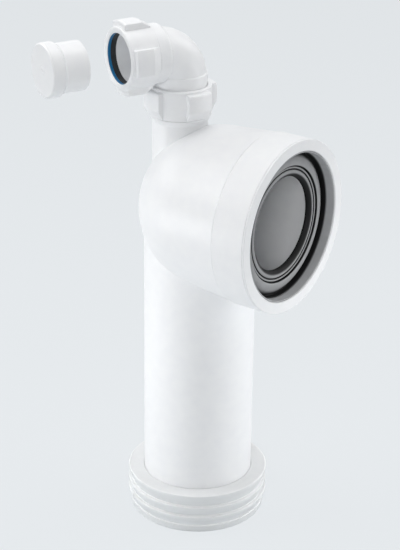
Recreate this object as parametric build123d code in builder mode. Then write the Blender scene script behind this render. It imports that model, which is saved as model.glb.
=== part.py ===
from build123d import *
import os
from math import acos, atan2, cos, hypot, radians, sin

# Toilet pan connector: a white bend with a pan socket, a finned outlet and a vent elbow. Millimetres.
# +Z is up along the outlet pipe and the pan socket faces -Y.
# The origin is the middle of the outlet's foot.

# Outlet pipe
pipe_diameter = 90.0
pipe_wall = 3.2
inlet_height = 273.5          # pan socket axis above the foot

# Bend head: a dome flush with the back of the pipe, and a sleeve round the pan seal
dome_radius = 65.4
dome_overhang = 0.2           # dome behind the pipe's back
head_wall = 3.4
socket_reach = 88.7           # pipe axis to the socket's front face
sleeve_length = 30.2
sleeve_step = 0.8             # sleeve proud of the bend at the seam
seam_width = 1.0
seam_depth = 0.6
rim_thickness = 4.0
rim_round = 0.8
rim_line_depth = 0.7          # fine line round the sleeve, just behind the rim
rim_line_width = 0.7
rim_line_back = 1.2
shelf_thickness = 4.0

# Clearances
seat_clearance = 0.3
slide_clearance = 0.15
thread_clearance = 0.6

# Pan seal
guide_radius = 58.9
guide_depth = 7.7
guide_step = 0.7              # step in at the foot of the guide wall
seal_front_inset = 0.8
seal_wall = 1.0
seal_flange = 5.8
seal_flange_thickness = 4.4
floor_depth = 13.0            # foot of the groove round the first lip
floor_round = 1.2
lip_rise = 4.5                # crest of the domed lip above that foot
lip_groove = 1.1              # width of the groove on each side of the bead
lip_groove_depth = 2.6        # its floor below the lip's crest
bead_radius = 0.7
bead_rise = 0.6
ring_shoulder = 1.9           # throat ring: from the groove to its crest
ring_crest_drop = 1.1         # its crest below the lip's crest
ring_shoulder_drop = 0.8
throat_radius = 37.6
throat_roll = 3.8             # rolled edge from the ring's crest into the throat
throat_land = 0.8
web_thickness = 3.0

# Outlet seal
fin_radius = 58.0
fin_taper = 3.2
fin_land = 2.6
fin_pitch = 9.05
fin_count = 3
top_fin_height = 11.1
foot_radius = 55.8
foot_height = 6.4
foot_chamfer = 1.2
foot_lip_thickness = 1.7
foot_lip_radius = 42.3

# Vent boss on the back of the dome
vent_back = 20.6              # vent axis behind the pipe axis
boss_radius = 22.1
boss_wall = 3.5
shoulder_radius = 24.6
shoulder_height = 5.0
shoulder_land = 1.0

# Vent elbow
nut_over_dome = 5.4           # lower nut's rear above the dome's crown
elbow_heading = 115.0         # degrees round from the pan socket
tail_reach = 27.2             # mouth axis to the lower nut's face
mouth_reach = 54.2            # vent axis to the upper nut's face
bend_radius = 22.0
elbow_radius = 20.4
elbow_wall = 3.6
tail_radius = 21.2
tail_collar = 9.8
tail_round = 1.4
tail_flange = 1.2             # flange proud of the tail, under the nut's lip
tail_flange_thickness = 3.0
hub_radius = 23.3
hub_length = 11.2
hub_round = 2.6
socket_stop = 30.0            # vent axis to the stop inside the mouth

# Nuts
nut_radius = 24.9
nut_length = 24.0
nut_lip = 1.0
nut_bevel = 0.6               # depth of the bevel round the hole
nut_round = 1.6
lug_radius = 29.6
lug_angle = 48.0
lug_count = 4
lug_flat = 16.4
lug_front = 2.0
lug_end = 0.9                 # lug proud of the nut at its thin end
lower_lug_turn = -109.5
upper_lug_turn = 5.5

# Rings inside the nuts
washer_thickness = 2.1
upper_seal_band = 1.25
upper_seal_nose = 1.2
nose_taper = 0.9
lower_seal_thickness = 2.2
ring_overlap = 3.6

# Blanking plug
plug_radius = 19.2
plug_length = 31.0
plug_wall = 2.2
plug_head_radius = 21.2
plug_head_length = 9.4
plug_bevel = 1.3
plug_gap = 54.2               # upper nut's face to the plug's head
gate_radius = 1.7
gate_depth = 0.4

# Derived radii
pipe_radius = pipe_diameter / 2
pipe_bore = pipe_radius - pipe_wall
dome_forward = dome_radius - pipe_radius - dome_overhang
seal_outer = guide_radius + seal_wall
flange_outer = seal_outer + seal_flange
rim_bore = seal_outer + seat_clearance
pocket_radius = flange_outer + seat_clearance
sleeve_radius = pocket_radius + head_wall
sleeve_foot = sleeve_radius - sleeve_step
boss_bore = boss_radius - boss_wall
elbow_bore = elbow_radius - elbow_wall
nut_bore = boss_radius + thread_clearance
ring_outer = nut_bore - seat_clearance
mouth_seal_bore = plug_radius + slide_clearance
washer_bore = plug_radius + seat_clearance + slide_clearance
mouth_bore = plug_radius + 2 * seat_clearance
mouth_hole = plug_radius + seat_clearance + 2 * slide_clearance
tail_hole = tail_radius + seat_clearance

# Derived heights
pipe_end = foot_lip_thickness + seat_clearance
lower_rear = inlet_height + dome_radius + nut_over_dome
lower_face = lower_rear + nut_length
elbow_height = lower_face + tail_reach
shoulder_top = lower_rear - seat_clearance
flange_top = lower_face - nut_lip - seat_clearance
flange_foot = flange_top - tail_flange_thickness
boss_top = flange_foot - lower_seal_thickness - 2 * slide_clearance
washer_front = mouth_reach - nut_lip - seat_clearance
mouth_seal_front = washer_front - washer_thickness - slide_clearance
mouth_end = mouth_seal_front - upper_seal_band - slide_clearance
hub_end = mouth_reach - nut_length - 2 * seat_clearance

# Axes and planes
vent_axis = Axis((0, vent_back, 0), (0, 0, 1))
socket_axis = Axis((0, 0, inlet_height), (0, 1, 0))
mouth_way = Vector(-sin(radians(elbow_heading)), -cos(radians(elbow_heading)), 0)
elbow_corner = Vector(0, vent_back, elbow_height)
mouth_axis = Axis(elbow_corner, mouth_way)
bend_plane = Plane(elbow_corner, x_dir=mouth_way, z_dir=mouth_way.cross(Vector(0, 0, 1)))


def face_plane(distance):
    """Plane across the elbow's mouth axis, looking out, with its X up."""
    return Plane(elbow_corner + mouth_way * distance, x_dir=(0, 0, 1), z_dir=mouth_way)


def half_section(face):
    """Plane through a face's axis: its X is the radius and its Y runs out along the axis."""
    return Plane(face.origin, x_dir=face.x_dir, z_dir=-face.y_dir)


def axis_of(face):
    return Axis(face.origin, face.z_dir)


def turned(face, angle):
    """The same face turned about its own axis."""
    return Plane(face.origin, x_dir=face.x_dir.rotate(axis_of(face), angle), z_dir=face.z_dir)


# Connector body: bend head, outlet pipe and vent boss in one moulding
front_y = -socket_reach
seam_y = front_y + sleeve_length
barrel_run = -dome_forward - seam_y
barrel_lean = acos(dome_radius / hypot(barrel_run, sleeve_foot)) - atan2(barrel_run, sleeve_foot)


def dome_outline(radius, front_radius, front):
    """Half outline from the dome's pole over the dome and along the tapered barrel."""
    pole = (-dome_forward + radius, inlet_height)
    shoulder = (-dome_forward + radius * sin(barrel_lean), inlet_height + radius * cos(barrel_lean))
    crown_turn = radians(45) + barrel_lean / 2
    crown = (-dome_forward + radius * sin(crown_turn), inlet_height + radius * cos(crown_turn))
    ThreePointArc(pole, crown, shoulder)
    Line(shoulder, (front, inlet_height + front_radius))


with BuildPart() as connector_body:
    with BuildSketch(Plane.YZ):
        with BuildLine():
            dome_outline(dome_radius, sleeve_foot, seam_y)
            groove_foot = inlet_height + sleeve_foot - seam_depth
            sleeve_top = inlet_height + sleeve_radius
            line_back = front_y + rim_line_back + rim_line_width
            line_front = front_y + rim_line_back
            Polyline(
                (seam_y, inlet_height + sleeve_foot),
                (seam_y, groove_foot),
                (seam_y - seam_width, groove_foot),
                (seam_y - seam_width, sleeve_top),
                (line_back, sleeve_top),
                (line_back, sleeve_top - rim_line_depth),
                (line_front, sleeve_top - rim_line_depth),
                (line_front, sleeve_top),
                (front_y + rim_round, sleeve_top),
                (front_y, sleeve_top - rim_round),
                (front_y, inlet_height),
                (-dome_forward + dome_radius, inlet_height),
            )
        make_face()
    revolve(axis=socket_axis)
    with BuildSketch(Plane.XY.offset(pipe_end)):
        Circle(pipe_radius)
    extrude(amount=inlet_height - pipe_end)
    with BuildSketch(Plane((0, vent_back, inlet_height))):
        Circle(boss_radius)
    extrude(amount=boss_top - inlet_height)
    with BuildSketch(half_section(Plane((0, vent_back, shoulder_top)))):
        with BuildLine():
            Polyline(
                (0, 0),
                (shoulder_radius, 0),
                (shoulder_radius, -shoulder_land),
                (boss_radius, -shoulder_height),
                (0, -shoulder_height),
                close=True,
            )
        make_face()
    revolve(axis=vent_axis)
    # Hollow inside: the dome, the seal's pocket and its shelf
    with BuildSketch(Plane.YZ):
        with BuildLine():
            inner_front = sleeve_foot - head_wall / cos(barrel_lean)
            dome_outline(dome_radius - head_wall, inner_front, seam_y)
            pocket_front = front_y + rim_thickness
            pocket_back = pocket_front + seal_flange_thickness + 2 * seat_clearance
            shelf_back = pocket_back + shelf_thickness
            Polyline(
                (seam_y, inlet_height + inner_front),
                (shelf_back, inlet_height + inner_front),
                (shelf_back, inlet_height + rim_bore),
                (pocket_back, inlet_height + rim_bore),
                (pocket_back, inlet_height + pocket_radius),
                (pocket_front, inlet_height + pocket_radius),
                (pocket_front, inlet_height + rim_bore),
                (front_y, inlet_height + rim_bore),
                (front_y, inlet_height),
                (-dome_forward + dome_radius - head_wall, inlet_height),
            )
        make_face()
    revolve(axis=socket_axis, mode=Mode.SUBTRACT)
    with BuildSketch(Plane.XY.offset(pipe_end)):
        Circle(pipe_bore)
    extrude(amount=inlet_height - pipe_end, mode=Mode.SUBTRACT)
    with BuildSketch(Plane((0, vent_back, inlet_height))):
        Circle(boss_bore)
    extrude(amount=boss_top - inlet_height, mode=Mode.SUBTRACT)

# Pan seal: guide wall, domed lip, bead and rolled throat ring, in depth behind the socket's face
socket_face = Plane((0, front_y, inlet_height), x_dir=(0, 0, 1), z_dir=(0, -1, 0))
flange_front = rim_thickness + seat_clearance
flange_back = flange_front + seal_flange_thickness
groove_radius = guide_radius - guide_step
flank_foot = groove_radius - floor_round
ring_radius = throat_radius + throat_roll
ring_outer_edge = ring_radius + ring_shoulder
bead_inner = ring_outer_edge + lip_groove
bead_outer = bead_inner + 2 * bead_radius
lip_edge = bead_outer + lip_groove
lip_radius = lip_edge + lip_groove
lip_crest = floor_depth - lip_rise
groove_floor = lip_crest + lip_groove_depth
bead_foot = groove_floor - bead_rise
ring_crest = lip_crest + ring_crest_drop
throat_depth = ring_crest + throat_roll
throat_end = throat_depth + throat_land
web_back = floor_depth + web_thickness

with BuildPart() as pan_seal:
    with BuildSketch(half_section(socket_face)):
        with BuildLine():
            Polyline(
                (seal_outer, -seal_front_inset),
                (guide_radius, -seal_front_inset),
                (guide_radius, -guide_depth),
                (groove_radius, -guide_depth - guide_step),
                (groove_radius, -floor_depth + floor_round),
            )
            TangentArc(
                (groove_radius, -floor_depth + floor_round),
                (flank_foot, -floor_depth),
                tangent=(0, -1),
            )
            TangentArc(
                (lip_radius, -lip_crest),
                (flank_foot, -floor_depth),
                tangent=(1, 0),
            )
            Polyline(
                (lip_radius, -lip_crest),
                (lip_edge, -lip_crest - bead_rise),
                (lip_edge, -groove_floor),
                (bead_outer, -groove_floor),
                (bead_outer, -bead_foot),
            )
            ThreePointArc(
                (bead_outer, -bead_foot),
                (bead_inner + bead_radius, -bead_foot + bead_radius),
                (bead_inner, -bead_foot),
            )
            Polyline(
                (bead_inner, -bead_foot),
                (bead_inner, -groove_floor),
                (ring_outer_edge, -groove_floor),
                (ring_outer_edge, -ring_crest - ring_shoulder_drop),
            )
            TangentArc(
                (ring_radius, -ring_crest),
                (ring_outer_edge, -ring_crest - ring_shoulder_drop),
                tangent=(1, 0),
            )
            TangentArc(
                (ring_radius, -ring_crest),
                (throat_radius, -throat_depth),
                tangent=(-1, 0),
            )
            Polyline(
                (throat_radius, -throat_depth),
                (throat_radius, -throat_end),
                (throat_radius + web_thickness / 2, -throat_end),
                (bead_inner + web_thickness / 2, -web_back),
                (seal_outer - seal_wall, -web_back),
                (seal_outer, -web_back + seal_wall),
                (seal_outer, -flange_back),
                (flange_outer, -flange_back),
                (flange_outer, -flange_front),
                (seal_outer, -flange_front),
                (seal_outer, -seal_front_inset),
            )
        make_face()
    revolve(axis=socket_axis)

# Outlet seal: a sleeve on the pipe's end, with a foot ring and fins above it
sleeve_bore = pipe_radius + slide_clearance
fin_bottoms = [foot_height + step * fin_pitch for step in range(fin_count)]
fin_tops = fin_bottoms[1:] + [fin_bottoms[-1] + top_fin_height]
seal_top = fin_tops[-1]

with BuildPart() as outlet_fin_seal:
    with BuildSketch(Plane.XZ):
        with BuildLine():
            outline = [
                (foot_lip_radius, 0),
                (foot_radius - foot_chamfer, 0),
                (foot_radius, foot_chamfer),
                (foot_radius, foot_height),
            ]
            for bottom, top in zip(fin_bottoms, fin_tops):
                outline += [
                    (fin_radius - fin_taper, bottom),
                    (fin_radius, top - fin_land),
                    (fin_radius, top),
                ]
            outline += [
                (sleeve_bore, seal_top),
                (sleeve_bore, foot_lip_thickness),
                (foot_lip_radius, foot_lip_thickness),
            ]
            Polyline(outline, close=True)
        make_face()
    revolve(axis=Axis.Z)

# Vent elbow: a swept bend with a flanged tail and a threaded mouth
with BuildPart() as vent_elbow:
    with BuildLine(bend_plane) as elbow_way:
        Line((0, flange_foot - elbow_height), (0, -bend_radius))
        JernArc((0, -bend_radius), (0, 1), bend_radius, -90)
        Line((bend_radius, 0), (mouth_end, 0))
    with BuildSketch(Plane((0, vent_back, flange_foot))):
        Circle(elbow_radius)
    sweep(path=elbow_way.wire())
    with BuildSketch(half_section(Plane((0, vent_back, lower_face)))):
        with BuildLine():
            Polyline(
                (0, flange_foot - lower_face),
                (tail_radius + tail_flange, flange_foot - lower_face),
                (tail_radius + tail_flange, flange_top - lower_face),
                (tail_radius, flange_top - lower_face),
                (tail_radius, tail_collar - tail_round),
                (tail_radius - tail_round, tail_collar),
                (0, tail_collar),
                close=True,
            )
        make_face()
    revolve(axis=vent_axis)
    with BuildSketch(half_section(face_plane(hub_end))):
        with BuildLine():
            Polyline(
                (0, mouth_end - hub_end),
                (boss_radius, mouth_end - hub_end),
                (boss_radius, 0),
                (hub_radius, 0),
                (hub_radius, -hub_length + hub_round),
            )
            RadiusArc(
                (hub_radius, -hub_length + hub_round),
                (hub_radius - hub_round, -hub_length),
                hub_round,
            )
            Polyline((hub_radius - hub_round, -hub_length), (0, -hub_length), (0, mouth_end - hub_end))
        make_face()
    revolve(axis=mouth_axis)
    # Waterway, then the plain socket and the seal's seat in the mouth
    with BuildSketch(Plane((0, vent_back, flange_foot))):
        Circle(elbow_bore)
    sweep(path=elbow_way.wire(), mode=Mode.SUBTRACT)
    seat_foot = mouth_end - upper_seal_nose - slide_clearance
    with BuildSketch(half_section(face_plane(mouth_end))):
        with BuildLine():
            Polyline(
                (0, 0),
                (mouth_bore + nose_taper + slide_clearance, 0),
                (mouth_bore + slide_clearance, seat_foot - mouth_end),
                (mouth_bore, seat_foot - mouth_end),
                (mouth_bore, socket_stop - mouth_end),
                (0, socket_stop - mouth_end),
                close=True,
            )
        make_face()
    revolve(axis=mouth_axis, mode=Mode.SUBTRACT)


def lugged_nut(face, hole_radius):
    """A nut with raised lugs, its bevelled face on the given plane and its thread behind it."""
    bevel_radius = (hole_radius + nut_radius - nut_round) / 2
    with BuildPart() as nut:
        with BuildSketch(half_section(face)):
            with BuildLine():
                Polyline(
                    (hole_radius, -nut_lip),
                    (hole_radius, -nut_bevel),
                    (bevel_radius, 0),
                    (nut_radius - nut_round, 0),
                )
                RadiusArc((nut_radius - nut_round, 0), (nut_radius, -nut_round), nut_round)
                Polyline(
                    (nut_radius, -nut_round),
                    (nut_radius, -nut_length),
                    (nut_bore, -nut_length),
                    (nut_bore, -nut_lip),
                    (hole_radius, -nut_lip),
                )
            make_face()
        revolve(axis=axis_of(face))
        for lug in range(lug_count):
            lug_start = lug * 360 / lug_count - lug_angle / 2
            with BuildSketch(half_section(turned(face, lug_start))):
                with BuildLine():
                    Polyline(
                        ((nut_bore + nut_radius) / 2, -lug_front - nut_round),
                        (nut_radius, -lug_front),
                        (lug_radius - nut_round, -lug_front),
                        (lug_radius, -lug_front - nut_round),
                        (lug_radius, -lug_flat),
                        (nut_radius + lug_end, -nut_length),
                        ((nut_bore + nut_radius) / 2, -nut_length),
                        close=True,
                    )
                make_face()
            revolve(axis=axis_of(face), revolution_arc=lug_angle)
    return nut


def plain_ring(face, bore, outer, thickness):
    """A flat ring behind the given plane."""
    with BuildPart() as ring:
        with BuildSketch(face):
            Circle(outer)
            Circle(bore, mode=Mode.SUBTRACT)
        extrude(amount=-thickness)
    return ring


# Nuts and rings
lower_nut = lugged_nut(turned(Plane((0, vent_back, lower_face)), lower_lug_turn), tail_hole)
lower_seal = plain_ring(
    Plane((0, vent_back, flange_foot - slide_clearance)),
    ring_outer - ring_overlap,
    ring_outer,
    lower_seal_thickness,
)
upper_nut = lugged_nut(turned(face_plane(mouth_reach), upper_lug_turn), mouth_hole)
upper_slip_washer = plain_ring(face_plane(washer_front), washer_bore, ring_outer, washer_thickness)

with BuildPart() as upper_seal:
    with BuildSketch(half_section(face_plane(mouth_seal_front))):
        with BuildLine():
            Polyline(
                (mouth_seal_bore, 0),
                (ring_outer, 0),
                (ring_outer, -upper_seal_band),
                (mouth_bore + nose_taper, -upper_seal_band),
                (mouth_bore, -upper_seal_band - upper_seal_nose),
                (mouth_seal_bore, -upper_seal_band - upper_seal_nose),
                close=True,
            )
        make_face()
    revolve(axis=mouth_axis)

# Blanking plug: a hollow stub with a bevelled head, drawn out of the mouth
plug_face = face_plane(mouth_reach + plug_gap + plug_head_length)
with BuildPart() as blanking_plug:
    with BuildSketch(half_section(plug_face)):
        with BuildLine():
            Polyline(
                (0, -gate_depth),
                (gate_radius, -gate_depth),
                (gate_radius, 0),
                (plug_head_radius - plug_bevel, 0),
                (plug_head_radius, -plug_bevel),
                (plug_head_radius, -plug_head_length),
                (plug_radius, -plug_head_length),
                (plug_radius, -plug_length),
                (plug_radius - plug_wall, -plug_length),
                (plug_radius - plug_wall, -plug_head_length),
                (0, -plug_head_length),
                close=True,
            )
        make_face()
    revolve(axis=mouth_axis)

pieces = {
    "connector_body": connector_body,
    "pan_seal": pan_seal,
    "outlet_fin_seal": outlet_fin_seal,
    "vent_elbow": vent_elbow,
    "lower_seal": lower_seal,
    "lower_nut": lower_nut,
    "upper_slip_washer": upper_slip_washer,
    "upper_seal": upper_seal,
    "upper_nut": upper_nut,
    "blanking_plug": blanking_plug,
}

os.makedirs("parts", exist_ok=True)
for name, piece in pieces.items():
    piece.part.label = name
    export_step(piece.part, f"parts/{name}.step")
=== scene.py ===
import math
import bpy
import bmesh
from mathutils import Matrix, Vector


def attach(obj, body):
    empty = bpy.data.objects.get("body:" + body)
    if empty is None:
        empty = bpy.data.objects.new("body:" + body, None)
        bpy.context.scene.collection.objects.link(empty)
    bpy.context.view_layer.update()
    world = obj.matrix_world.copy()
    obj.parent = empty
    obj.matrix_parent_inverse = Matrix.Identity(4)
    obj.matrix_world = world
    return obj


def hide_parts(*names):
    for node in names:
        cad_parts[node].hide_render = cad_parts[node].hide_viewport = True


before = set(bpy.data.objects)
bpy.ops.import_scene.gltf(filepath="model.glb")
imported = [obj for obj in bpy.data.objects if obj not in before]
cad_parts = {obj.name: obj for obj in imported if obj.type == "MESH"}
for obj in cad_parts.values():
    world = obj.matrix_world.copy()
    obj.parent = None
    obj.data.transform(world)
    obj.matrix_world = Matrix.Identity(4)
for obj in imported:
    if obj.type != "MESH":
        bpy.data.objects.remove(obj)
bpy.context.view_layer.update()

print("frame loaded:", ", ".join(sorted(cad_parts)))

# the object's sizes are in millimetres, in the frame's own axes
mm = 0.001
worldUp = Vector((0, 0, 1))
overlap = 1.0  # how far a cutter runs past a face, or a joined solid into its neighbour

# roundings that many edges share, from a cut line to a free rim
hairRound, innerRound, edgeRound, lipRound, rimRound = 0.1, 0.2, 0.3, 0.4, 0.5


# colour and node helpers

mixFactor, mixFirst, mixSecond, mixResult = 0, 6, 7, 2  # sockets of a Mix node that is set to colours


def hexLinear(code):
    parts = [int(code[i:i + 2], 16) / 255 for i in (1, 3, 5)]
    return [p / 12.92 if p <= 0.04045 else ((p + 0.055) / 1.055) ** 2.4 for p in parts] + [1.0]


def addNode(tree, kind, settings=None, values=None, links=None):
    node = tree.nodes.new(kind)
    for key, value in (settings or {}).items():
        setattr(node, key, value)
    for key, value in (values or {}).items():
        node.inputs[key].default_value = value
    for key, source in (links or {}).items():
        tree.links.new(source, node.inputs[key])
    return node


# mesh helpers

def meshPiece(name, verts, faces):
    mesh = bpy.data.meshes.new(name)
    mesh.from_pydata(verts, [], faces)
    work = bmesh.new()
    work.from_mesh(mesh)
    bmesh.ops.recalc_face_normals(work, faces=work.faces)
    work.to_mesh(mesh)
    work.free()
    mesh.shade_smooth()
    piece = bpy.data.objects.new(name, mesh)
    bpy.context.scene.collection.objects.link(piece)
    return piece


def softOutline(corners, closed=True, arcSteps=5, longRun=5.0, guard=0.35):
    # corners are (radius, along, rounding); each becomes an arc, and runs get loops close to
    # the arcs so that flat walls shade flat
    runShare, nearlyStraight = 0.45, 0.01
    count = len(corners)
    stretches = []
    for i, (radius, along, rounding) in enumerate(corners):
        here = Vector((radius, along))
        if rounding <= 0 or (not closed and i in (0, count - 1)):
            stretches.append([here])
            continue
        comeIn = here - Vector(corners[i - 1][:2])
        goOut = Vector(corners[(i + 1) % count][:2]) - here
        reach = runShare * min(comeIn.length, goOut.length)
        comeIn.normalize()
        goOut.normalize()
        half = math.acos(max(-1, min(1, comeIn.dot(goOut)))) / 2
        if half < nearlyStraight:
            stretches.append([here])
            continue
        cut = min(rounding * math.tan(half), reach)
        start, end = here - comeIn * cut, here + goOut * cut
        inward = (goOut - comeIn).normalized()
        centre = here + inward * (cut / math.sin(half))
        arc = []
        for k in range(arcSteps + 1):
            t = 2 * half * k / arcSteps
            spoke = (start - centre) * math.sin(2 * half - t) + (end - centre) * math.sin(t)
            arc.append(centre + spoke / math.sin(2 * half))
        stretches.append(arc)
    points = []
    for i, stretch in enumerate(stretches):
        points += stretch
        if not closed and i == count - 1:
            break
        following = stretches[(i + 1) % count]
        a, b = stretch[-1], following[0]
        run = (b - a).length
        if run > 3 * guard and (len(stretch) > 1 or len(following) > 1):
            points.append(a.lerp(b, guard / run))
            pieces = max(1, round((run - 2 * guard) / longRun))
            points += [a.lerp(b, (guard + (run - 2 * guard) * k / pieces) / run) for k in range(1, pieces)]
            points.append(a.lerp(b, 1 - guard / run))
    return [(p.x, p.y) for p in points]


def arcCorners(centreAlong, radius, startTurn, endTurn, steps):
    # points on a dome centred on the axis; turn is measured from square to the axis
    turns = [startTurn + (endTurn - startTurn) * k / steps for k in range(steps + 1)]
    return [(radius * math.cos(t), centreAlong + radius * math.sin(t), 0) for t in turns]


def domedRun(crest, foot, steps):
    # arc that leaves the crest level and comes down to the foot
    run, drop = foot[0] - crest[0], foot[1] - crest[1]
    bend = (run * run + drop * drop) / (2 * drop)
    sweep = math.acos(1 - drop / bend)
    side = math.copysign(1, run)
    turns = [sweep * k / steps for k in range(steps + 1)]
    return [(crest[0] + side * bend * math.sin(t), crest[1] + bend * (1 - math.cos(t)), 0) for t in turns]


def axisFrame(origin, axis, start):
    axis = Vector(axis).normalized()
    start = Vector(start)
    start = (start - axis * start.dot(axis)).normalized()
    side = axis.cross(start)
    turn = Matrix((start, side, axis)).transposed().to_4x4()
    return Matrix.Translation(Vector(origin) * mm) @ turn


def turned(name, outline, place, facets, closed=True):
    # spins an outline of (radius, along) about the place's own Z
    onAxis = 1e-6
    verts, rings, faces = [], [], []
    for radius, along in outline:
        if radius < onAxis:
            rings.append([len(verts)] * facets)
            verts.append(place @ Vector((0, 0, along * mm)))
            continue
        rings.append(range(len(verts), len(verts) + facets))
        for k in range(facets):
            a = 2 * math.pi * k / facets
            verts.append(place @ Vector((radius * math.cos(a) * mm, radius * math.sin(a) * mm, along * mm)))
    pairs = list(zip(rings, rings[1:] + rings[:1])) if closed else list(zip(rings, rings[1:]))
    for low, high in pairs:
        for k in range(facets):
            n = (k + 1) % facets
            face = list(dict.fromkeys((low[k], low[n], high[n], high[k])))
            if len(face) > 2:
                faces.append(face)
    return meshPiece(name, verts, faces)


def solidTurned(name, corners, place, facets):
    # the same for corners that start and end on the axis
    return turned(name, softOutline(corners, closed=False), place, facets, closed=False)


def loftFaces(rows, count):
    # faces between rows of count points each, with a face over each end
    faces = []
    for i in range(rows - 1):
        for k in range(count):
            n = (k + 1) % count
            faces.append((i * count + k, i * count + n, (i + 1) * count + n, (i + 1) * count + k))
    faces.append(tuple(range(count)))
    faces.append(tuple(range((rows - 1) * count, rows * count)))
    return faces


def sweptTube(name, path, across, radius, facets):
    # a solid tube along a flat path of (point, direction), closed at both ends
    verts = []
    for point, direction in path:
        up = across.cross(direction)
        for k in range(facets):
            a = 2 * math.pi * k / facets
            verts.append((point + (across * math.cos(a) + up * math.sin(a)) * radius) * mm)
    return meshPiece(name, verts, loftFaces(len(path), facets))


def settle(piece):
    # turns live modifiers into a plain mesh
    graph = bpy.context.evaluated_depsgraph_get()
    mesh = bpy.data.meshes.new_from_object(piece.evaluated_get(graph))
    old = piece.data
    piece.modifiers.clear()
    piece.data = mesh
    bpy.data.meshes.remove(old)
    mesh.name = piece.name


def dropSlivers(piece, reach=0.008 * mm):
    # welds points that cuts leave almost on each other, before and after faces become triangles
    work = bmesh.new()
    work.from_mesh(piece.data)
    for again in range(2):
        bmesh.ops.remove_doubles(work, verts=work.verts, dist=reach)
        bmesh.ops.dissolve_degenerate(work, dist=reach, edges=work.edges)
        bmesh.ops.triangulate(work, faces=work.faces, ngon_method="BEAUTY")
    work.to_mesh(piece.data)
    work.free()


def carve(piece, steps):
    # joins or cuts solids in turn, and removes them
    for operation, other in steps:
        cut = piece.modifiers.new("carve", "BOOLEAN")
        cut.operation, cut.solver, cut.object = operation, "EXACT", other
        settle(piece)
        bpy.data.objects.remove(other)
    dropSlivers(piece)
    return piece


def crease(piece, sharpFrom):
    # smooth shading, apart from edges that turn by more than this many degrees
    piece.data.shade_smooth()
    piece.data.set_sharp_from_angle(angle=math.radians(sharpFrom))


def ramp(value, low, high):
    return max(0.0, min(1.0, (value - low) / (high - low)))


def paintLightAndShade(piece, levelAt, s):
    # writes per point how much painted light it gets: one keeps the material's first colour, nought gives its
    # painted shade colour
    bloom = piece.data.attributes.new("bloom", "FLOAT", "POINT")
    for vert, entry in zip(piece.data.vertices, bloom.data):
        entry.value = levelAt(vert.co, s)


# node tree helpers

def newTree(name, inputs, output):
    tree = bpy.data.node_groups.new(name, "GeometryNodeTree")
    for label, kind in inputs.items():
        tree.interface.new_socket(label, in_out="INPUT", socket_type=kind)
    tree.interface.new_socket(output, in_out="OUTPUT", socket_type="NodeSocketGeometry")
    return tree, addNode(tree, "NodeGroupInput").outputs


def endTree(tree, mesh, material):
    # every tree ends as plain geometry with its material, because the export drops instances
    real = addNode(tree, "GeometryNodeRealizeInstances", links={"Geometry": mesh})
    paint = addNode(tree, "GeometryNodeSetMaterial", links={
        "Geometry": real.outputs["Geometry"], "Material": material})
    addNode(tree, "NodeGroupOutput", links={0: paint.outputs["Geometry"]})
    return tree


def growWith(piece, tree, values):
    # runs a tree with these inputs, which are set by identifier, and keeps its result as a plain mesh
    grow = piece.modifiers.new(tree.name, "NODES")
    grow.node_group = tree
    sockets = {i.name: i.identifier for i in tree.interface.items_tree if i.in_out == "INPUT"}
    for label, value in values.items():
        grow[sockets[label]] = value
    settle(piece)


# materials

def patternedMaterial(name, recipe):
    # Principled surface with a mottled tint, a gloss that varies and a moulded grain; the real grain
    # is a tenth of a millimetre or so, and it is drawn coarser so that it shows
    material = bpy.data.materials.new(name)
    material.use_nodes = True
    tree = material.node_tree
    surface = tree.nodes["Principled BSDF"]
    place = addNode(tree, "ShaderNodeTexCoord").outputs["Object"]
    mottle = addNode(tree, "ShaderNodeTexNoise", values={
        "Scale": 1 / (recipe["mottleSize"] * mm), "Detail": 3.0, "Roughness": 0.5}, links={"Vector": place})
    tint = addNode(tree, "ShaderNodeMapRange", values={"From Min": 0.3, "From Max": 0.7},
                   links={"Value": mottle.outputs["Fac"]})
    colour = addNode(tree, "ShaderNodeMix", {"data_type": "RGBA"}, {
        mixFirst: hexLinear(recipe["colour"]), mixSecond: hexLinear(recipe["shade"])},
        {mixFactor: tint.outputs["Result"]})
    tone = colour.outputs[mixResult]
    # painted light and shade: the per-point level mixes the colour with a painted shade colour
    if "paintedShade" in recipe:
        bloom = addNode(tree, "ShaderNodeAttribute", {"attribute_name": "bloom"})
        paintedMix = addNode(tree, "ShaderNodeMix", {"data_type": "RGBA"}, {mixFirst: hexLinear(recipe["paintedShade"])},
                       {mixFactor: bloom.outputs["Fac"], mixSecond: tone})
        tone = paintedMix.outputs[mixResult]
    glossLow, glossHigh = recipe["roughness"]
    gloss = addNode(tree, "ShaderNodeMapRange", values={"To Min": glossLow, "To Max": glossHigh},
                    links={"Value": mottle.outputs["Fac"]})
    grain = addNode(tree, "ShaderNodeTexNoise", values={
        "Scale": 1 / (recipe["grainSize"] * mm), "Detail": 2.0}, links={"Vector": place})
    bump = addNode(tree, "ShaderNodeBump", values={
        "Strength": recipe["grainStrength"], "Distance": recipe["grainDepth"] * mm},
        links={"Height": grain.outputs["Fac"]})
    tree.links.new(tone, surface.inputs["Base Color"])
    tree.links.new(gloss.outputs["Result"], surface.inputs["Roughness"])
    tree.links.new(bump.outputs["Normal"], surface.inputs["Normal"])
    surface.inputs["IOR"].default_value = recipe["ior"]
    surface.inputs["Specular IOR Level"].default_value = recipe.get("specular", 0.5)
    return material


# moulded polypropylene: clean white with a satin skin, a little cool in the shade
whitePolypropylene = patternedMaterial("whitePolypropylene", {
    "colour": "#F0F1F2", "shade": "#EDEEF0", "mottleSize": 9.0, "roughness": (0.34, 0.42),
    "grainSize": 1.6, "grainDepth": 0.05, "grainStrength": 0.25, "ior": 1.49})

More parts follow.
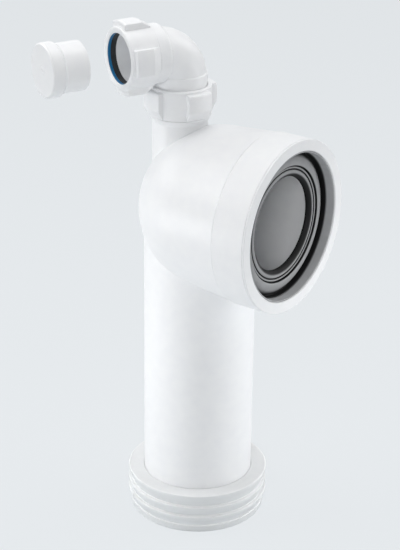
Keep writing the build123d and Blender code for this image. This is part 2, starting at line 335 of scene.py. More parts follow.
# moulded soft PVC of the outlet fins: pale and matt, slightly waxy, with painted highlights at the ledges and
# painted shade on the flanks
paleSoftPvc = patternedMaterial("paleSoftPvc", {
    "colour": "#F4F5F5", "shade": "#F0F1F2", "paintedShade": "#DFE1E2", "mottleSize": 7.0, "roughness": (0.5, 0.62),
    "grainSize": 1.4, "grainDepth": 0.06, "grainStrength": 0.3, "ior": 1.52})

# moulded EPDM of the pan seal: grey, with black painted as shade in the grooves, the slot and the throat
greyRubber = patternedMaterial("greyRubber", {
    "colour": "#B2B3B5", "shade": "#ABACAE", "paintedShade": "#0E0E0F", "mottleSize": 6.0, "roughness": (0.55, 0.68),
    "grainSize": 1.2, "grainDepth": 0.05, "grainStrength": 0.3, "ior": 1.52, "specular": 0.2})

# moulded nitrile of the small sealing rings: near black and matt
blackRubber = patternedMaterial("blackRubber", {
    "colour": "#27282A", "shade": "#212224", "mottleSize": 4.0, "roughness": (0.5, 0.62),
    "grainSize": 1.0, "grainDepth": 0.05, "grainStrength": 0.3, "ior": 1.52})

# moulded polythene of the slip washer: strong blue with a waxy shine
bluePolythene = patternedMaterial("bluePolythene", {
    "colour": "#1975A9", "shade": "#166B9E", "mottleSize": 4.0, "roughness": (0.34, 0.42),
    "grainSize": 1.0, "grainDepth": 0.03, "grainStrength": 0.2, "ior": 1.51})
print("materials ready")


def dress(piece, material, body, node):
    piece.data.materials.clear()
    piece.data.materials.append(material)
    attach(piece, body)
    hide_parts(node)


# places that several pieces share: the socket's face, the pipe, the vent and the elbow's mouth

layout = {
    "inletHeight": 273.5, "socketReach": 88.7, "ventBack": 20.6, "elbowHeight": 395.5, "elbowHeading": 115.0,
}
heading = math.radians(layout["elbowHeading"])
mouthWay = Vector((-math.sin(heading), -math.cos(heading), 0))
elbowCorner = Vector((0, layout["ventBack"], layout["elbowHeight"]))
socketFrame = axisFrame((0, -layout["socketReach"], layout["inletHeight"]), (0, 1, 0), worldUp)
pipeFrame = axisFrame((0, 0, 0), worldUp, (1, 0, 0))


def ventFrame(height=0.0, turn=0.0):
    spoke = math.radians(turn)
    return axisFrame((0, layout["ventBack"], height), worldUp, (math.cos(spoke), math.sin(spoke), 0))


def mouthFrame(reach=0.0, turn=0.0):
    start = Matrix.Rotation(math.radians(turn), 3, mouthWay) @ worldUp
    return axisFrame(elbowCorner + mouthWay * reach, mouthWay, start)


# connector body: bend head, outlet pipe and vent boss

bodySizes = {
    "domeRadius": 65.4, "domeForward": 20.2, "headWall": 3.4,
    "sleeveRadius": 69.4, "sleeveLength": 30.2, "sleeveStep": 0.8, "mouthRound": 0.9,
    "lineBack": 1.2, "lineWidth": 0.7, "lineDepth": 0.7, "lineSlope": 0.1,
    "seamWidth": 1.0, "seamDepth": 0.6, "seamRound": 0.35, "seamRoot": 0.15,
    "rimBore": 60.2, "rimChamfer": 0.5, "rimFlare": 1.2, "rimThickness": 4.0,
    "pocketRadius": 66.0, "pocketLength": 5.0, "shelf": 4.0,
    "pipeRadius": 45.0, "pipeBore": 41.8, "pipeEnd": 2.0,
    "bossRadius": 22.1, "bossBore": 18.6, "bossTop": 361.5, "bossRound": 0.6,
    "shoulderRadius": 24.6, "shoulderTop": 344.0, "shoulderHeight": 5.0,
    "shoulderEdge": 1.0, "shoulderRoot": 1.5,
    "domeSteps": 56, "chamberSteps": 48, "sharpFrom": 28,
    "facets": {"head": 224, "tube": 192, "boss": 144, "chamber": 192, "tubeBore": 176, "bossBore": 128},
}


def buildBody(s):
    inlet, facets = layout["inletHeight"], s["facets"]
    sleeve, seam = s["sleeveRadius"], s["sleeveLength"]
    domeAlong = layout["socketReach"] - s["domeForward"]
    foot = sleeve - s["sleeveStep"]
    run = domeAlong - seam
    lean = math.acos(s["domeRadius"] / math.hypot(run, foot)) - math.atan2(run, foot)
    lineFloor, lineEnd = sleeve - s["lineDepth"], s["lineBack"] + s["lineWidth"]
    seamFloor, seamStart = foot - s["seamDepth"], seam - s["seamWidth"]
    outer = [
        (0, 0, 0), (sleeve, 0, s["mouthRound"]),
        (sleeve, s["lineBack"], hairRound), (lineFloor, s["lineBack"] + s["lineSlope"], hairRound),
        (lineFloor, lineEnd - s["lineSlope"], hairRound), (sleeve, lineEnd, innerRound),
        (sleeve, seamStart, s["seamRound"]), (seamFloor, seamStart, s["seamRoot"]),
        (seamFloor, seam, s["seamRoot"]), (foot, seam, s["seamRound"]),
    ] + arcCorners(domeAlong, s["domeRadius"], lean, math.pi / 2, s["domeSteps"])
    outer[-1] = (0, domeAlong + s["domeRadius"], 0)

    innerDome = s["domeRadius"] - s["headWall"]
    innerFoot = foot - s["headWall"] / math.cos(lean)
    rim, rimEnd = s["rimBore"], s["rimThickness"]
    pocketEnd = rimEnd + s["pocketLength"]
    shelfEnd = pocketEnd + s["shelf"]
    inner = [
        (0, -overlap, 0), (rim + s["rimFlare"], -overlap, 0),
        (rim + s["rimChamfer"], 0, innerRound), (rim, s["rimChamfer"], edgeRound),
        (rim, rimEnd, innerRound), (s["pocketRadius"], rimEnd, edgeRound),
        (s["pocketRadius"], pocketEnd, edgeRound), (rim, pocketEnd, innerRound),
        (rim, shelfEnd, edgeRound), (innerFoot, shelfEnd, rimRound), (innerFoot, seam, 0),
    ] + arcCorners(domeAlong, innerDome, lean, math.pi / 2, s["chamberSteps"])
    inner[-1] = (0, domeAlong + innerDome, 0)

    boss, bossTop = s["bossRadius"], s["bossTop"]
    shoulder, shoulderTop = s["shoulderRadius"], s["shoulderTop"]
    bossCorners = [
        (0, inlet, 0), (boss, inlet, 0), (boss, shoulderTop - s["shoulderHeight"], s["shoulderRoot"]),
        (shoulder, shoulderTop - s["shoulderEdge"], lipRound), (shoulder, shoulderTop, edgeRound),
        (boss, shoulderTop, innerRound), (boss, bossTop, s["bossRound"]), (0, bossTop, 0),
    ]
    bossCut = bossTop + overlap
    bossBore = [(0, inlet), (s["bossBore"], inlet), (s["bossBore"], bossCut), (0, bossCut)]
    pipe, pipeEnd = s["pipeRadius"], s["pipeEnd"]
    tubeCorners = [(0, pipeEnd, 0), (pipe, pipeEnd, rimRound), (pipe, inlet, 0), (0, inlet, 0)]
    pipeCut = pipeEnd - overlap
    tubeBore = [(0, pipeCut), (s["pipeBore"], pipeCut), (s["pipeBore"], inlet), (0, inlet)]

    body = solidTurned("bodyMoulding", outer, socketFrame, facets["head"])
    return carve(body, [
        ("UNION", solidTurned("tube", tubeCorners, pipeFrame, facets["tube"])),
        ("UNION", solidTurned("boss", bossCorners, ventFrame(), facets["boss"])),
        ("DIFFERENCE", solidTurned("chamber", inner, socketFrame, facets["chamber"])),
        ("DIFFERENCE", turned("tubeBore", tubeBore, pipeFrame, facets["tubeBore"], closed=False)),
        ("DIFFERENCE", turned("bossBore", bossBore, ventFrame(), facets["bossBore"], closed=False)),
    ])


bodyMoulding = buildBody(bodySizes)
crease(bodyMoulding, bodySizes["sharpFrom"])
dress(bodyMoulding, whitePolypropylene, "connector", "connector_body")
print("body built:", len(bodyMoulding.data.polygons), "faces")

# pan seal: guide wall, domed lip, bead and rolled throat ring, as depths behind the socket's face

panSealSizes = {
    "outer": 59.9, "front": 0.8, "frontRound": 0.25, "flange": 65.7, "flangeFront": 4.3, "flangeBack": 8.7,
    "guide": 58.9, "guideDepth": 7.7, "guideStep": 0.7,
    "groove": 58.2, "floorDepth": 13.0, "floorRound": 0.8, "flankFoot": 57.0,
    "lip": 48.0, "lipDepth": 8.5, "lipEdge": 46.9, "lipRoll": 0.1,
    "grooveDepth": 11.1, "bead": (45.8, 44.4), "beadDepth": 9.8, "beadRound": 0.6,
    "ring": 43.3, "ringCrest": 41.4, "ringDepth": 9.6, "ringDrop": 0.8,
    "throat": 37.6, "throatDepth": 13.4, "throatEnd": 14.2,
    "back": 16.0, "backChamfer": 1.0, "web": 3.0, "webRound": 1.5,
    "flankSteps": 18, "ringSteps": 5, "throatSteps": 14, "arcSteps": 6, "facets": 208, "sharpFrom": 40,
    "lipPaintedLight": 0.8, "wallNear": 0.2, "lipNear": 0.3,
    "guideFade": 0.4, "flankFade": (4.0, 0.8), "crestFade": (0.1, 0.5), "throatFade": 2.4,
}


def buildPanSeal(s):
    outer, guide, groove, ring, throat = (s[k] for k in ("outer", "guide", "groove", "ring", "throat"))
    beadOut, beadIn = s["bead"]
    deep, guideEnd, ringEdge = s["grooveDepth"], s["guideDepth"], s["ringDepth"] + s["ringDrop"]
    ringCrest, halfWeb = (s["ringCrest"], s["ringDepth"]), s["web"] / 2
    corners = [
        (outer, s["front"], s["frontRound"]), (guide, s["front"], edgeRound), (guide, guideEnd, innerRound),
        (groove, guideEnd + s["guideStep"], innerRound), (groove, s["floorDepth"], s["floorRound"]),
    ]
    corners += domedRun((s["lip"], s["lipDepth"]), (s["flankFoot"], s["floorDepth"]), s["flankSteps"])[::-1]
    corners += [
        (s["lipEdge"], s["lipDepth"] + s["lipRoll"], rimRound), (s["lipEdge"], deep, innerRound),
        (beadOut, deep, innerRound), (beadOut, s["beadDepth"], s["beadRound"]),
        (beadIn, s["beadDepth"], s["beadRound"]), (beadIn, deep, innerRound),
        (ring, deep, innerRound), (ring, ringEdge, innerRound),
    ]
    corners += domedRun(ringCrest, (ring, ringEdge), s["ringSteps"])[-2::-1]
    corners += domedRun(ringCrest, (throat, s["throatDepth"]), s["throatSteps"])[1:]
    corners += [
        (throat, s["throatEnd"], edgeRound), (throat + halfWeb, s["throatEnd"], edgeRound),
        (beadIn + halfWeb, s["back"], s["webRound"]), (outer - s["backChamfer"], s["back"], lipRound),
        (outer, s["back"] - s["backChamfer"], lipRound), (outer, s["flangeBack"], edgeRound),
        (s["flange"], s["flangeBack"], rimRound), (s["flange"], s["flangeFront"], rimRound),
        (outer, s["flangeFront"], edgeRound),
    ]
    return turned("panSealRing", softOutline(corners, arcSteps=s["arcSteps"]), socketFrame, s["facets"])


def panSealPaintedShade(spot, s):
    # painted shade: full grey on the guide wall, a little less on the lips, black in the grooves, the slot
    # and the throat
    beadOut, beadIn = s["bead"]
    near, level = s["wallNear"], s["lipPaintedLight"]
    radius = math.hypot(spot.x, spot.z - layout["inletHeight"] * mm) / mm
    depth = spot.y / mm + layout["socketReach"]
    if radius > s["flankFoot"] + near:
        return 1 - ramp(depth, s["guideDepth"] - s["guideFade"], s["guideDepth"] + s["guideFade"])
    if radius > s["lip"] - s["lipNear"]:
        start, end = s["flankFade"]
        return level * (1 - ramp(radius, s["flankFoot"] - start, s["flankFoot"] - end))
    if radius > s["ring"] - s["lipNear"]:
        crest = s["beadDepth"] if beadIn - near < radius < beadOut + near else s["lipDepth"]
        start, end = s["crestFade"]
        return level * (1 - ramp(depth, crest + start, crest + end))
    return level * ramp(radius, s["throat"] + s["throatFade"], s["ringCrest"])


panSealRing = buildPanSeal(panSealSizes)
# painted shade: black in the grooves, the slot and the throat, grey on the open faces
paintLightAndShade(panSealRing, panSealPaintedShade, panSealSizes)
crease(panSealRing, panSealSizes["sharpFrom"])
dress(panSealRing, greyRubber, "connector", "pan_seal")
print("pan seal built")

# outlet seal: sleeve with a foot ring and fins

finSealSizes = {
    "bore": 45.15, "lipBore": 42.3, "lip": 1.7, "foot": 55.8, "footChamfer": 1.2, "footRound": 0.6,
    "levels": (6.4, 15.45, 24.5, 35.6), "fin": 58.0, "taper": 3.2, "land": 2.6,
    "landRound": 5.0, "tipRound": 1.1, "topRound": 0.9, "facets": 208, "sharpFrom": 50,
    "ledgeFade": (0.15, 0.9), "tipFade": (0.3, 1.3), "topFade": 1.0, "topPaintedShade": 0.45,
}


def buildFinSeal(s):
    levels, fin, foot, chamfer = s["levels"], s["fin"], s["foot"], s["footChamfer"]
    corners = [
        (s["lipBore"], 0, edgeRound), (foot - chamfer, 0, rimRound), (foot, chamfer, rimRound),
        (foot, levels[0], s["footRound"]),
    ]
    for low, top in zip(levels, levels[1:]):
        corners += [
            (fin - s["taper"], low, lipRound), (fin, top - s["land"], s["landRound"]),
            (fin, top, s["tipRound"]),
        ]
    corners += [
        (s["bore"], levels[-1], s["topRound"]), (s["bore"], s["lip"], innerRound),
        (s["lipBore"], s["lip"], edgeRound),
    ]
    return turned("finSealSleeve", softOutline(corners), pipeFrame, s["facets"])


def finSealPaintedLight(spot, s):
    # painted light: pale highlights at the ledges and the fins' edges, painted shade on the flanks, and a
    # little painted shade on the flat top
    height, top = spot.z / mm, s["levels"][-1]
    away = min(abs(height - level) for level in s["levels"])
    inFromTip = s["fin"] - math.hypot(spot.x, spot.y) / mm
    flatTop = ramp(height, top - s["topFade"], top) * ramp(inFromTip, *s["tipFade"])
    return (1 - ramp(away, *s["ledgeFade"])) * (1 - s["topPaintedShade"] * flatTop)


finSealSleeve = buildFinSeal(finSealSizes)
# painted light: pale highlights at the ledges, painted shade on the flanks and the flat top
paintLightAndShade(finSealSleeve, finSealPaintedLight, finSealSizes)
crease(finSealSleeve, finSealSizes["sharpFrom"])
dress(finSealSleeve, paleSoftPvc, "connector", "outlet_fin_seal")
print("outlet seal built")

# vent elbow: swept bend with a flanged tail, a hub and a threaded mouth

elbowSizes = {
    "bend": 22.0, "radius": 20.4, "bore": 16.8, "borePast": 4.0,
    "tail": 21.2, "tailFoot": 364.0, "tailTop": 378.1, "tailRound": 1.4, "flange": 22.4, "flangeTop": 367.0,
    "hub": 23.3, "hubStart": 18.4, "hubEnd": 29.6, "hubRound": 2.6, "thread": 22.1, "mouthEnd": 49.25,
    "socket": 19.8, "socketStop": 30.0, "seat": 19.95, "seatFoot": 47.9, "seatMouth": 20.85, "seatFlare": 0.5,
    "bendSteps": 48, "facets": {"tube": 128, "bore": 112, "turned": 128}, "sharpFrom": 28,
}


def buildElbow(s):
    across = mouthWay.cross(worldUp)
    bend, steps, facets = s["bend"], s["bendSteps"], s["facets"]

    def elbowPath(low, far):
        path = [(Vector((0, layout["ventBack"], low)), worldUp)]
        for k in range(steps + 1):
            t = math.pi / 2 * k / steps
            rise = worldUp * (bend * math.sin(t) - bend)
            point = elbowCorner + mouthWay * (bend - bend * math.cos(t)) + rise
            path.append((point, worldUp * math.cos(t) + mouthWay * math.sin(t)))
        path.append((elbowCorner + mouthWay * far, mouthWay))
        return path

    tailFoot, tailTop, hubStart, hubEnd = s["tailFoot"], s["tailTop"], s["hubStart"], s["hubEnd"]
    tailCorners = [
        (0, tailFoot, 0), (s["flange"], tailFoot, lipRound), (s["flange"], s["flangeTop"], lipRound),
        (s["tail"], s["flangeTop"], innerRound), (s["tail"], tailTop, s["tailRound"]), (0, tailTop, 0),
    ]
    mouthEnd, mouthCut = s["mouthEnd"], s["mouthEnd"] + overlap
    hubCorners = [
        (0, hubStart, 0), (s["hub"], hubStart, s["hubRound"]), (s["hub"], hubEnd, rimRound),
        (s["thread"], hubEnd, innerRound), (s["thread"], mouthEnd, rimRound), (0, mouthEnd, 0),
    ]
    socket = [
        (0, mouthCut), (s["seatMouth"] + s["seatFlare"], mouthCut), (s["seatMouth"], mouthEnd),
        (s["seat"], s["seatFoot"]), (s["socket"], s["seatFoot"]), (s["socket"], s["socketStop"]),
        (0, s["socketStop"]),
    ]
    tubePath = elbowPath(tailFoot + overlap, hubEnd)
    borePath = elbowPath(tailFoot - overlap, hubEnd + s["borePast"])
    elbow = sweptTube("elbowMoulding", tubePath, across, s["radius"], facets["tube"])
    return carve(elbow, [
        ("UNION", solidTurned("tail", tailCorners, ventFrame(), facets["turned"])),
        ("UNION", solidTurned("hub", hubCorners, mouthFrame(), facets["turned"])),
        ("DIFFERENCE", sweptTube("waterWay", borePath, across, s["bore"], facets["bore"])),
        ("DIFFERENCE", turned("mouthSocket", socket, mouthFrame(), facets["turned"], closed=False)),
    ])


elbowMoulding = buildElbow(elbowSizes)
crease(elbowMoulding, elbowSizes["sharpFrom"])
dress(elbowMoulding, whitePolypropylene, "elbow", "vent_elbow")
print("elbow built:", len(elbowMoulding.data.polygons), "faces")

# nuts: a turned ring with lugs set round it, measured back from its face

nutSizes = {
    "radius": 24.9, "length": 24.0, "bore": 22.7, "lip": 1.0, "bevel": 0.6, "round": 1.6,
    "lugs": 4, "lug": 29.6, "lugAngle": 48.0, "lugDraft": 3.0, "lugEdge": 0.4,
    "lugFront": 2.0, "lugLead": 1.2, "lugSink": 0.2, "lugCrown": 1.6,
    "lugFlat": 16.4, "lugBend": 2.0, "lugEnd": 0.9, "lugShort": 0.4,
    "arcSteps": 4, "edgeSteps": 4, "faceSteps": 16, "facets": 144, "sharpFrom": 32,
}
nutPlaces = {
    "lower": {"hole": 21.5, "face": 368.3, "turn": -109.5},
    "upper": {"hole": 19.8, "face": 54.2, "turn": 5.5},
}


def buildLug(s):
    # one lug about +X, its long edges rounded by shrinking the outline towards its ends
    ring, lug = s["radius"], s["lug"]
    root, front, rear = (s["bore"] + ring) / 2, -s["lugFront"], s["lugShort"] - s["length"]
    outline = [Vector(p) for p in softOutline([
        (root, front - s["lugLead"], 0), (ring - s["lugSink"], front, edgeRound), (lug, front, s["lugCrown"]),
        (lug, -s["lugFlat"], s["lugBend"]), (ring + s["lugEnd"], rear, lipRound), (root, rear, 0),
    ], arcSteps=s["arcSteps"])]
    centre = Vector((root + lug, rear + front)) / 2
    halfHeight, halfLength = lug - centre.x, centre.y - rear

    half = math.radians(s["lugAngle"]) / 2
    draft = math.radians(s["lugDraft"]) / half
    edge, edgeSteps, faceSteps = s["lugEdge"], s["edgeSteps"], s["faceSteps"]
    edgeTurn = edge / lug
    rounded = []
    for k in range(edgeSteps + 1):
        t = math.pi / 2 * k / edgeSteps
        rounded.append((-half + edge * (1 - math.cos(t)) / lug, edge * (1 - math.sin(t))))
    flat = [(-half + edgeTurn + 2 * (half - edgeTurn) * k / faceSteps, 0) for k in range(1, faceSteps)]
    turns = rounded + flat + [(-angle, inset) for angle, inset in reversed(rounded)]
    verts = []
    for angle, inset in turns:
        for here in outline:
            radius = centre.x + (here.x - centre.x) * (1 - inset / halfHeight)
            along = centre.y + (here.y - centre.y) * (1 - inset / halfLength)
            rise = max(0, radius - ring) / (lug - ring)
            lean = angle * (1 - draft * rise)
            verts.append(Vector((radius * math.cos(lean), radius * math.sin(lean), along)) * mm)
    return meshPiece("lug", verts, loftFaces(len(turns), len(outline)))


def lugTree():
    # sets copies of one lug round the ring and melts them into it
    tree, given = newTree("lugsRoundNut", {
        "Ring": "NodeSocketGeometry", "Lug": "NodeSocketObject", "Lug Count": "NodeSocketInt",
        "Plastic": "NodeSocketMaterial"}, "Nut")
    lug = addNode(tree, "GeometryNodeObjectInfo", links={"Object": given["Lug"]})
    spots = addNode(tree, "GeometryNodePoints", links={"Count": given["Lug Count"]})
    index = addNode(tree, "GeometryNodeInputIndex")
    step = addNode(tree, "ShaderNodeMath", {"operation": "DIVIDE"}, {0: 2 * math.pi}, {1: given["Lug Count"]})
    angle = addNode(tree, "ShaderNodeMath", {"operation": "MULTIPLY"}, links={
        0: index.outputs[0], 1: step.outputs[0]})
    spin = addNode(tree, "ShaderNodeCombineXYZ", links={"Z": angle.outputs[0]})
    copies = addNode(tree, "GeometryNodeInstanceOnPoints", links={
        "Points": spots.outputs["Points"], "Instance": lug.outputs["Geometry"], "Rotation": spin.outputs[0]})
    lugs = addNode(tree, "GeometryNodeRealizeInstances", links={"Geometry": copies.outputs["Instances"]})
    melt = addNode(tree, "GeometryNodeMeshBoolean", {"operation": "UNION", "solver": "EXACT"})
    for solid in (given["Ring"], lugs.outputs["Geometry"]):
        tree.links.new(solid, melt.inputs["Mesh 2"])
    return endTree(tree, melt.outputs["Mesh"], given["Plastic"])


lugsRoundNut = lugTree()


def buildNut(name, s, hole, place):
    ring, rear = s["radius"], -s["length"]
    bevelEdge = (hole + ring - s["round"]) / 2
    nut = turned(name, softOutline([
        (hole, -s["lip"], hairRound), (hole, -s["bevel"], innerRound), (bevelEdge, 0, rimRound),
        (ring, 0, s["round"]), (ring, rear, lipRound), (s["bore"], rear, edgeRound),
        (s["bore"], -s["lip"], innerRound)]), Matrix.Identity(4), s["facets"])
    lug = buildLug(s)
    growWith(nut, lugsRoundNut, {"Lug": lug, "Lug Count": s["lugs"], "Plastic": whitePolypropylene})
    bpy.data.objects.remove(lug)
    nut.data.transform(place)
    dropSlivers(nut)
    crease(nut, s["sharpFrom"])
    return nut


lowerAt, upperAt = nutPlaces["lower"], nutPlaces["upper"]
lowerPlace = ventFrame(lowerAt["face"], lowerAt["turn"])
lowerNut = buildNut("lowerNutMoulding", nutSizes, lowerAt["hole"], lowerPlace)
dress(lowerNut, whitePolypropylene, "lower_nut", "lower_nut")
upperPlace = mouthFrame(upperAt["face"], upperAt["turn"])
upperNut = buildNut("upperNutMoulding", nutSizes, upperAt["hole"], upperPlace)
dress(upperNut, whitePolypropylene, "upper_nut", "upper_nut")
print("nuts built:", len(lowerNut.data.polygons), "and", len(upperNut.data.polygons), "faces")

# rings inside the nuts: a flat seal under the elbow, a slip washer and a lipped seal in its mouth

lowerSealSizes = {"bore": 18.8, "outer": 22.4, "back": 361.65, "front": 363.85, "facets": 112}
slipWasherSizes = {"bore": 19.65, "outer": 22.4, "back": 50.8, "front": 52.9, "facets": 128}
mouthSealSizes = {
    "bore": 19.35, "outer": 22.4, "front": 50.65, "back": 49.4, "coneEdge": 20.7, "coneEnd": 48.1,
    "skirt": 19.72, "skirtEnd": 46.3, "facets": 128,
}


def flatRing(s, firstRound):
    return [
        (s["bore"], s["back"], firstRound), (s["outer"], s["back"], edgeRound),
        (s["outer"], s["front"], edgeRound), (s["bore"], s["front"], edgeRound),
    ]


def lippedRing(s):
    return [
        (s["bore"], s["front"], innerRound), (s["outer"], s["front"], edgeRound),
        (s["outer"], s["back"], edgeRound), (s["coneEdge"], s["back"], innerRound),
        (s["skirt"], s["coneEnd"], hairRound), (s["skirt"], s["skirtEnd"], hairRound),
        (s["bore"], s["skirtEnd"], hairRound),
    ]


lowerSealOutline = softOutline(flatRing(lowerSealSizes, edgeRound))
lowerSealRing = turned("lowerSealRing", lowerSealOutline, ventFrame(), lowerSealSizes["facets"])
dress(lowerSealRing, blackRubber, "vent_union", "lower_seal")
slipWasherOutline = softOutline(flatRing(slipWasherSizes, innerRound))
slipWasherRing = turned("slipWasherRing", slipWasherOutline, mouthFrame(), slipWasherSizes["facets"])
dress(slipWasherRing, bluePolythene, "mouth_rings", "upper_slip_washer")
mouthSealOutline = softOutline(lippedRing(mouthSealSizes))
mouthSealRing = turned("mouthSealRing", mouthSealOutline, mouthFrame(), mouthSealSizes["facets"])
dress(mouthSealRing, blackRubber, "mouth_rings", "upper_seal")
print("rings built")

# blanking plug, drawn out of the mouth and measured back from its face

plugSizes = {
    "face": 117.8, "radius": 19.2, "length": 31.0, "wall": 2.2, "stemRound": 0.6, "cupRound": 0.8,
    "head": 21.2, "headLength": 9.4, "bevel": 1.3, "headRound": 0.6,
    "gate": 1.7, "gateDepth": 0.4, "gateSlope": 0.3, "faceRing": 4.2, "ringWidth": 0.9, "ringDepth": 0.3,
    "neck": 18.4, "neckLength": 2.0, "neckSlope": 0.7, "facets": 144, "sharpFrom": 40,
}


def buildPlug(s):
    head, stem, inside, neck = s["head"], s["radius"], s["radius"] - s["wall"], s["neck"]
    headEnd, stemEnd = -s["headLength"], -s["length"]
    neckEnd = headEnd - s["neckLength"]
    ringOut, width = s["faceRing"], s["ringWidth"]
    corners = [
        (0, -s["gateDepth"], 0), (s["gate"] - s["gateSlope"], -s["gateDepth"], edgeRound),
        (s["gate"], 0, edgeRound),
        (ringOut - width, 0, innerRound), (ringOut - width / 2, -s["ringDepth"], edgeRound),
        (ringOut, 0, innerRound),
        (head - s["bevel"], 0, rimRound), (head, -s["bevel"], s["headRound"]), (head, headEnd, rimRound),
        (neck, headEnd, innerRound), (neck, neckEnd, innerRound), (stem, neckEnd - s["neckSlope"], edgeRound),
        (stem, stemEnd, s["stemRound"]), (inside, stemEnd, rimRound), (inside, headEnd, s["cupRound"]),
        (0, headEnd, 0),
    ]
    return solidTurned("plugMoulding", corners, mouthFrame(s["face"]), s["facets"])


plugMoulding = buildPlug(plugSizes)
crease(plugMoulding, plugSizes["sharpFrom"])
dress(plugMoulding, whitePolypropylene, "plug", "blanking_plug")
print("plug built")

# screw threads under the nuts, a rounded ridge wound along each

threadSizes = {
    "pitch": 3.0, "wire": 0.9, "rise": 0.35, "stepsPerTurn": 96, "wireSteps": 10,
    "bossStart": 346.0, "bossTurns": 4.2, "mouthStart": 31.5, "mouthTurns": 5.2,
}


def threadTree(s):
    tree, given = newTree("screwThread", {
        "Blank": "NodeSocketGeometry", "Turns": "NodeSocketFloat", "Pitch": "NodeSocketFloat",
        "Radius": "NodeSocketFloat", "Wire": "NodeSocketFloat", "Plastic": "NodeSocketMaterial"}, "Thread")
    rise = addNode(tree, "ShaderNodeMath", {"operation": "MULTIPLY"}, links={
        0: given["Turns"], 1: given["Pitch"]})
    coil = addNode(tree, "GeometryNodeCurveSpiral", values={"Resolution": s["stepsPerTurn"]}, links={
        "Rotations": given["Turns"], "Start Radius": given["Radius"], "End Radius": given["Radius"],
        "Height": rise.outputs[0]})
    wire = addNode(tree, "GeometryNodeCurvePrimitiveCircle", values={"Resolution": s["wireSteps"]},
                   links={"Radius": given["Wire"]})
    ridge = addNode(tree, "GeometryNodeCurveToMesh", values={"Fill Caps": True}, links={
        "Curve": coil.outputs["Curve"], "Profile Curve": wire.outputs["Curve"]})
    return endTree(tree, ridge.outputs["Mesh"], given["Plastic"])


screwThread = threadTree(threadSizes)


def buildThread(name, s, root, turns, place, body):
    ridge = meshPiece(name, [], [])
    growWith(ridge, screwThread, {
        "Turns": turns, "Pitch": s["pitch"] * mm, "Radius": (root + s["rise"] - s["wire"]) * mm,
        "Wire": s["wire"] * mm, "Plastic": whitePolypropylene})
    ridge.data.transform(place)
    ridge.data.shade_smooth()
    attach(ridge, body)
    return ridge


bossThread = buildThread("bossThread", threadSizes, bodySizes["bossRadius"], threadSizes["bossTurns"],
                         ventFrame(threadSizes["bossStart"]), "connector")
mouthThread = buildThread("mouthThread", threadSizes, elbowSizes["thread"], threadSizes["mouthTurns"],
                          mouthFrame(threadSizes["mouthStart"]), "elbow")
print("threads built:", len(bossThread.data.polygons), "and", len(mouthThread.data.polygons), "faces")

# studio: pale floor, broad soft lamps, camera fitted to the photograph; its lengths are in metres

studio = {
    "backdrop": "#E6EAED", "fill": "#FFFFFF", "fillLevel": 0.2, "floorReach": 9.0, "floorGlow": 0.92,
    "cameraAt": (-1.11249, -0.78972, 0.82762), "azimuth": -54.64, "elevation": 24.39, "roll": 0.68,
    "focalPixels": 1849.2, "imageHeight": 550, "sensorHeight": 24.0, "clip": (0.05, 50),
}


def buildCamera(s):
    a, e, r = (math.radians(s[k]) for k in ("azimuth", "elevation", "roll"))
    right = Vector((math.cos(a), math.sin(a), 0))
    back = Vector((math.sin(a) * math.cos(e), -math.cos(a) * math.cos(e), math.sin(e)))
    up = back.cross(right)
    right, up = right * math.cos(r) + up * math.sin(r), up * math.cos(r) - right * math.sin(r)
    lens = bpy.data.cameras.new("camera")
    lens.sensor_fit = "VERTICAL"
    lens.sensor_height = s["sensorHeight"]
    lens.lens = s["focalPixels"] / s["imageHeight"] * lens.sensor_height
    lens.clip_start, lens.clip_end = s["clip"]
    camera = bpy.data.objects.new("camera", lens)
    turn = Matrix((right, up, back)).transposed().to_4x4()
    camera.matrix_world = Matrix.Translation(Vector(s["cameraAt"])) @ turn
    bpy.context.scene.collection.objects.link(camera)
    bpy.context.scene.camera = camera
    return right, back


cameraRight, cameraBack = buildCamera(studio)
flatRight = Vector((cameraRight.x, cameraRight.y, 0)).normalized()
flatBack = Vector((cameraBack.x, cameraBack.y, 0)).normalized()

# a bearing is in degrees from the camera's side towards the picture's right, and rise is how far up
# the lamp lies for each metre along its bearing
lamps = {
    "topBox": {
        "aim": (0, -0.01, 0.22), "bearing": 180, "rise": 10.0, "distance": 1.3,
        "size": (0.9, 0.9), "power": 7.2},
    "leftBox": {
        "aim": (0, 0.01, 0.3), "bearing": -103, "rise": 0.7, "distance": 1.0,
        "size": (0.8, 0.6), "power": 4.7},
    "rightBox": {
        "aim": (0, 0.01, 0.3), "bearing": 115, "rise": 0.7, "distance": 1.0,
        "size": (0.6, 0.6), "power": 2.8},
    "leftStrip": {
        "aim": (0, 0, 0.15), "bearing": -76, "rise": 0.0, "distance": 0.6,
        "size": (0.3, 0.2), "power": 0.17, "spread": 60},
    "rightStrip": {
        "aim": (0, 0, 0.13), "bearing": 86, "rise": 0.1, "distance": 0.6,
        "size": (0.3, 0.3), "power": 0.24, "spread": 60},
    "frontBox": {
        "aim": (0, 0.01, 0.3), "bearing": -6, "rise": 0.35, "distance": 1.5,
        "size": (0.4, 0.4), "power": 6.0},
}


def addLamp(name, s):
    turn = math.radians(s["bearing"])
    way = (flatRight * math.sin(turn) + flatBack * math.cos(turn) + worldUp * s["rise"]).normalized()
    lamp = bpy.data.lights.new(name, "AREA")
    lamp.shape = "RECTANGLE"
    lamp.size, lamp.size_y = s["size"]
    lamp.energy = s["power"]
    lamp.spread = math.radians(s.get("spread", 180))
    holder = bpy.data.objects.new(name, lamp)
    holder.location = Vector(s["aim"]) + way * s["distance"]
    holder.rotation_euler = way.to_track_quat("Z", "Y").to_euler()
    holder.visible_camera = False
    bpy.context.scene.collection.objects.link(holder)


for lampName, lampSizes in lamps.items():
    addLamp(lampName, lampSizes)


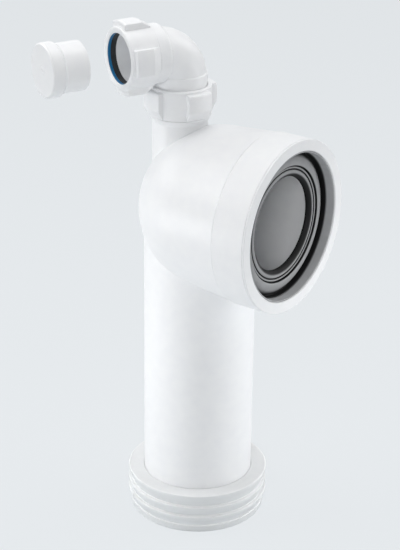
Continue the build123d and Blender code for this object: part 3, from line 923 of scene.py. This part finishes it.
def seenRays(tree):
    # one for rays that show the backdrop, straight, by reflection or through glass; nought for rays
    # that light the object
    rays = addNode(tree, "ShaderNodeLightPath")
    shown = rays.outputs["Is Camera Ray"]
    for label in ("Is Glossy Ray", "Is Transmission Ray"):
        either = addNode(tree, "ShaderNodeMath", {"operation": "MAXIMUM"}, links={
            0: shown, 1: rays.outputs[label]})
        shown = either.outputs[0]
    return shown


def buildWorld(s):
    world = bpy.data.worlds.new("studioWorld")
    bpy.context.scene.world = world
    world.use_nodes = True
    tree = world.node_tree
    tree.nodes.clear()
    fill = addNode(tree, "ShaderNodeBackground", values={
        "Color": hexLinear(s["fill"]), "Strength": s["fillLevel"]})
    view = addNode(tree, "ShaderNodeBackground", values={"Color": hexLinear(s["backdrop"]), "Strength": 1.0})
    mix = addNode(tree, "ShaderNodeMixShader", links={
        0: seenRays(tree), 1: fill.outputs[0], 2: view.outputs[0]})
    addNode(tree, "ShaderNodeOutputWorld", links={"Surface": mix.outputs[0]})


def buildFloor(s):
    reach = s["floorReach"]
    corners = [(-reach, -reach, 0), (reach, -reach, 0), (reach, reach, 0), (-reach, reach, 0)]
    floor = meshPiece("floor", corners, [(0, 1, 2, 3)])
    material = bpy.data.materials.new("paleStudioPaper")
    material.use_nodes = True
    tree = material.node_tree
    tree.nodes.clear()
    paper = addNode(tree, "ShaderNodeBsdfDiffuse", values={"Color": hexLinear(s["backdrop"])})
    glow = addNode(tree, "ShaderNodeEmission", values={"Color": hexLinear(s["backdrop"]), "Strength": 1.0})
    share = addNode(tree, "ShaderNodeMath", {"operation": "MULTIPLY"}, {1: s["floorGlow"]}, {
        0: seenRays(tree)})
    mix = addNode(tree, "ShaderNodeMixShader", links={
        0: share.outputs[0], 1: paper.outputs[0], 2: glow.outputs[0]})
    addNode(tree, "ShaderNodeOutputMaterial", links={"Surface": mix.outputs[0]})
    floor.data.materials.append(material)


buildWorld(studio)
buildFloor(studio)
bpy.context.scene.view_settings.view_transform = "Standard"
print("studio ready")
